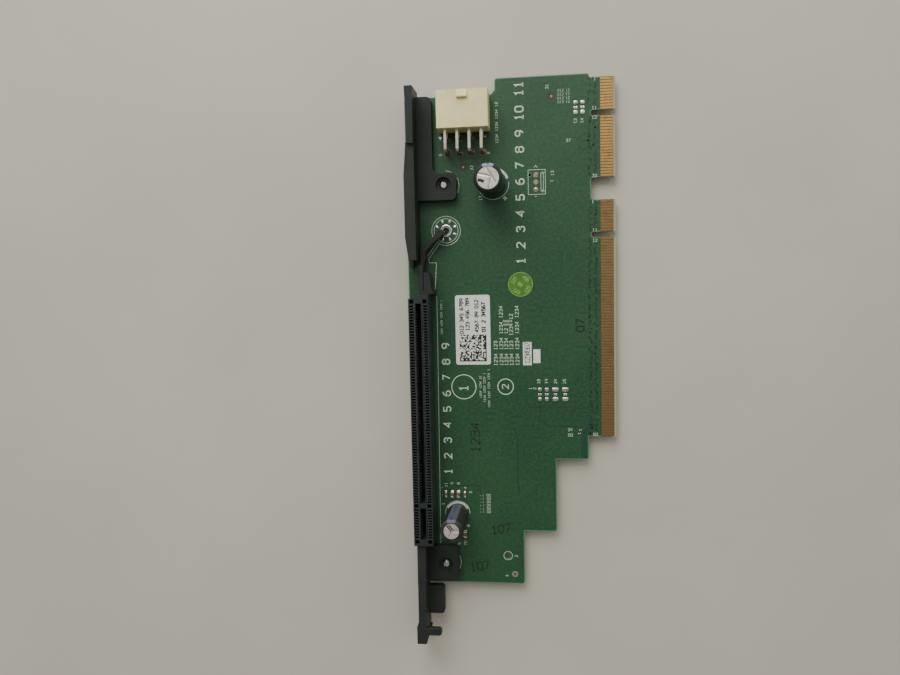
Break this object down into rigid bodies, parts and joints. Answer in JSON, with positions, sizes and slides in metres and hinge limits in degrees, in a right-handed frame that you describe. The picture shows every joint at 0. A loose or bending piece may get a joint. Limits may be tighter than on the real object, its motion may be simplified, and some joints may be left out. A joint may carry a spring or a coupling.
{
  "type": "pcie riser card",
  "caption": "Server riser card: a stepped green circuit board with gold edge tongues on one side, an upright card slot, a power header, electrolytic capacitors and black guide brackets.",
  "frame": {"origin": "middle of the bounding box, at the height of the lowest point (the screw heads under the board)", "axes": "+X from the brackets towards the gold edge tongues, +Y along the board towards the power header, +Z out of the component face"},
  "size_m": [0.0742, 0.2024, 0.0233],
  "materials": {
    "board": "green solder mask over glass-fibre laminate",
    "gold": "gold plating",
    "black_moulding": "moulded, fine texture",
    "slot_moulding": "moulded, smooth",
    "slot_spring": "plated spring metal",
    "ivory_moulding": "moulded, natural ivory",
    "tin": "tin plated",
    "steel": "zinc plated",
    "can": "bare, fine grain",
    "sleeve": "shrink sleeve with a grey stripe",
    "bung": "black rubber",
    "chip": "fired ceramic",
    "paper": "white label stock",
    "sticker": "green round sticker"
  },
  "bodies": {
    "root": {"circuit_board": "board", "edge_contacts_x4_top": "gold", "edge_contacts_x4_bottom": "gold", "edge_contacts_x16_top": "gold", "edge_contacts_x16_bottom": "gold", "slot_housing": "slot_moulding", "slot_contacts_left": "slot_spring", "slot_contacts_right": "slot_spring", "card_latch": "black_moulding", "hole_ring": "tin", "power_header_housing": "ivory_moulding", "power_pins_upper": "tin", "power_pins_lower": "tin", "guide_bracket_upper": "black_moulding", "guide_bracket_lower": "black_moulding", "bracket_screws": "steel", "large_capacitor_can": "can", "large_capacitor_sleeve": "sleeve", "large_capacitor_bung": "bung", "large_capacitor_leads": "tin", "small_capacitor_can": "can", "small_capacitor_sleeve": "sleeve", "small_capacitor_bung": "bung", "small_capacitor_leads": "tin", "ceramic_capacitor_bodies": "chip", "ceramic_capacitor_terminals": "tin", "address_label": "paper", "code_tag": "paper", "code_strip": "paper", "inspection_sticker": "sticker"}
  },
  "joints": []
}
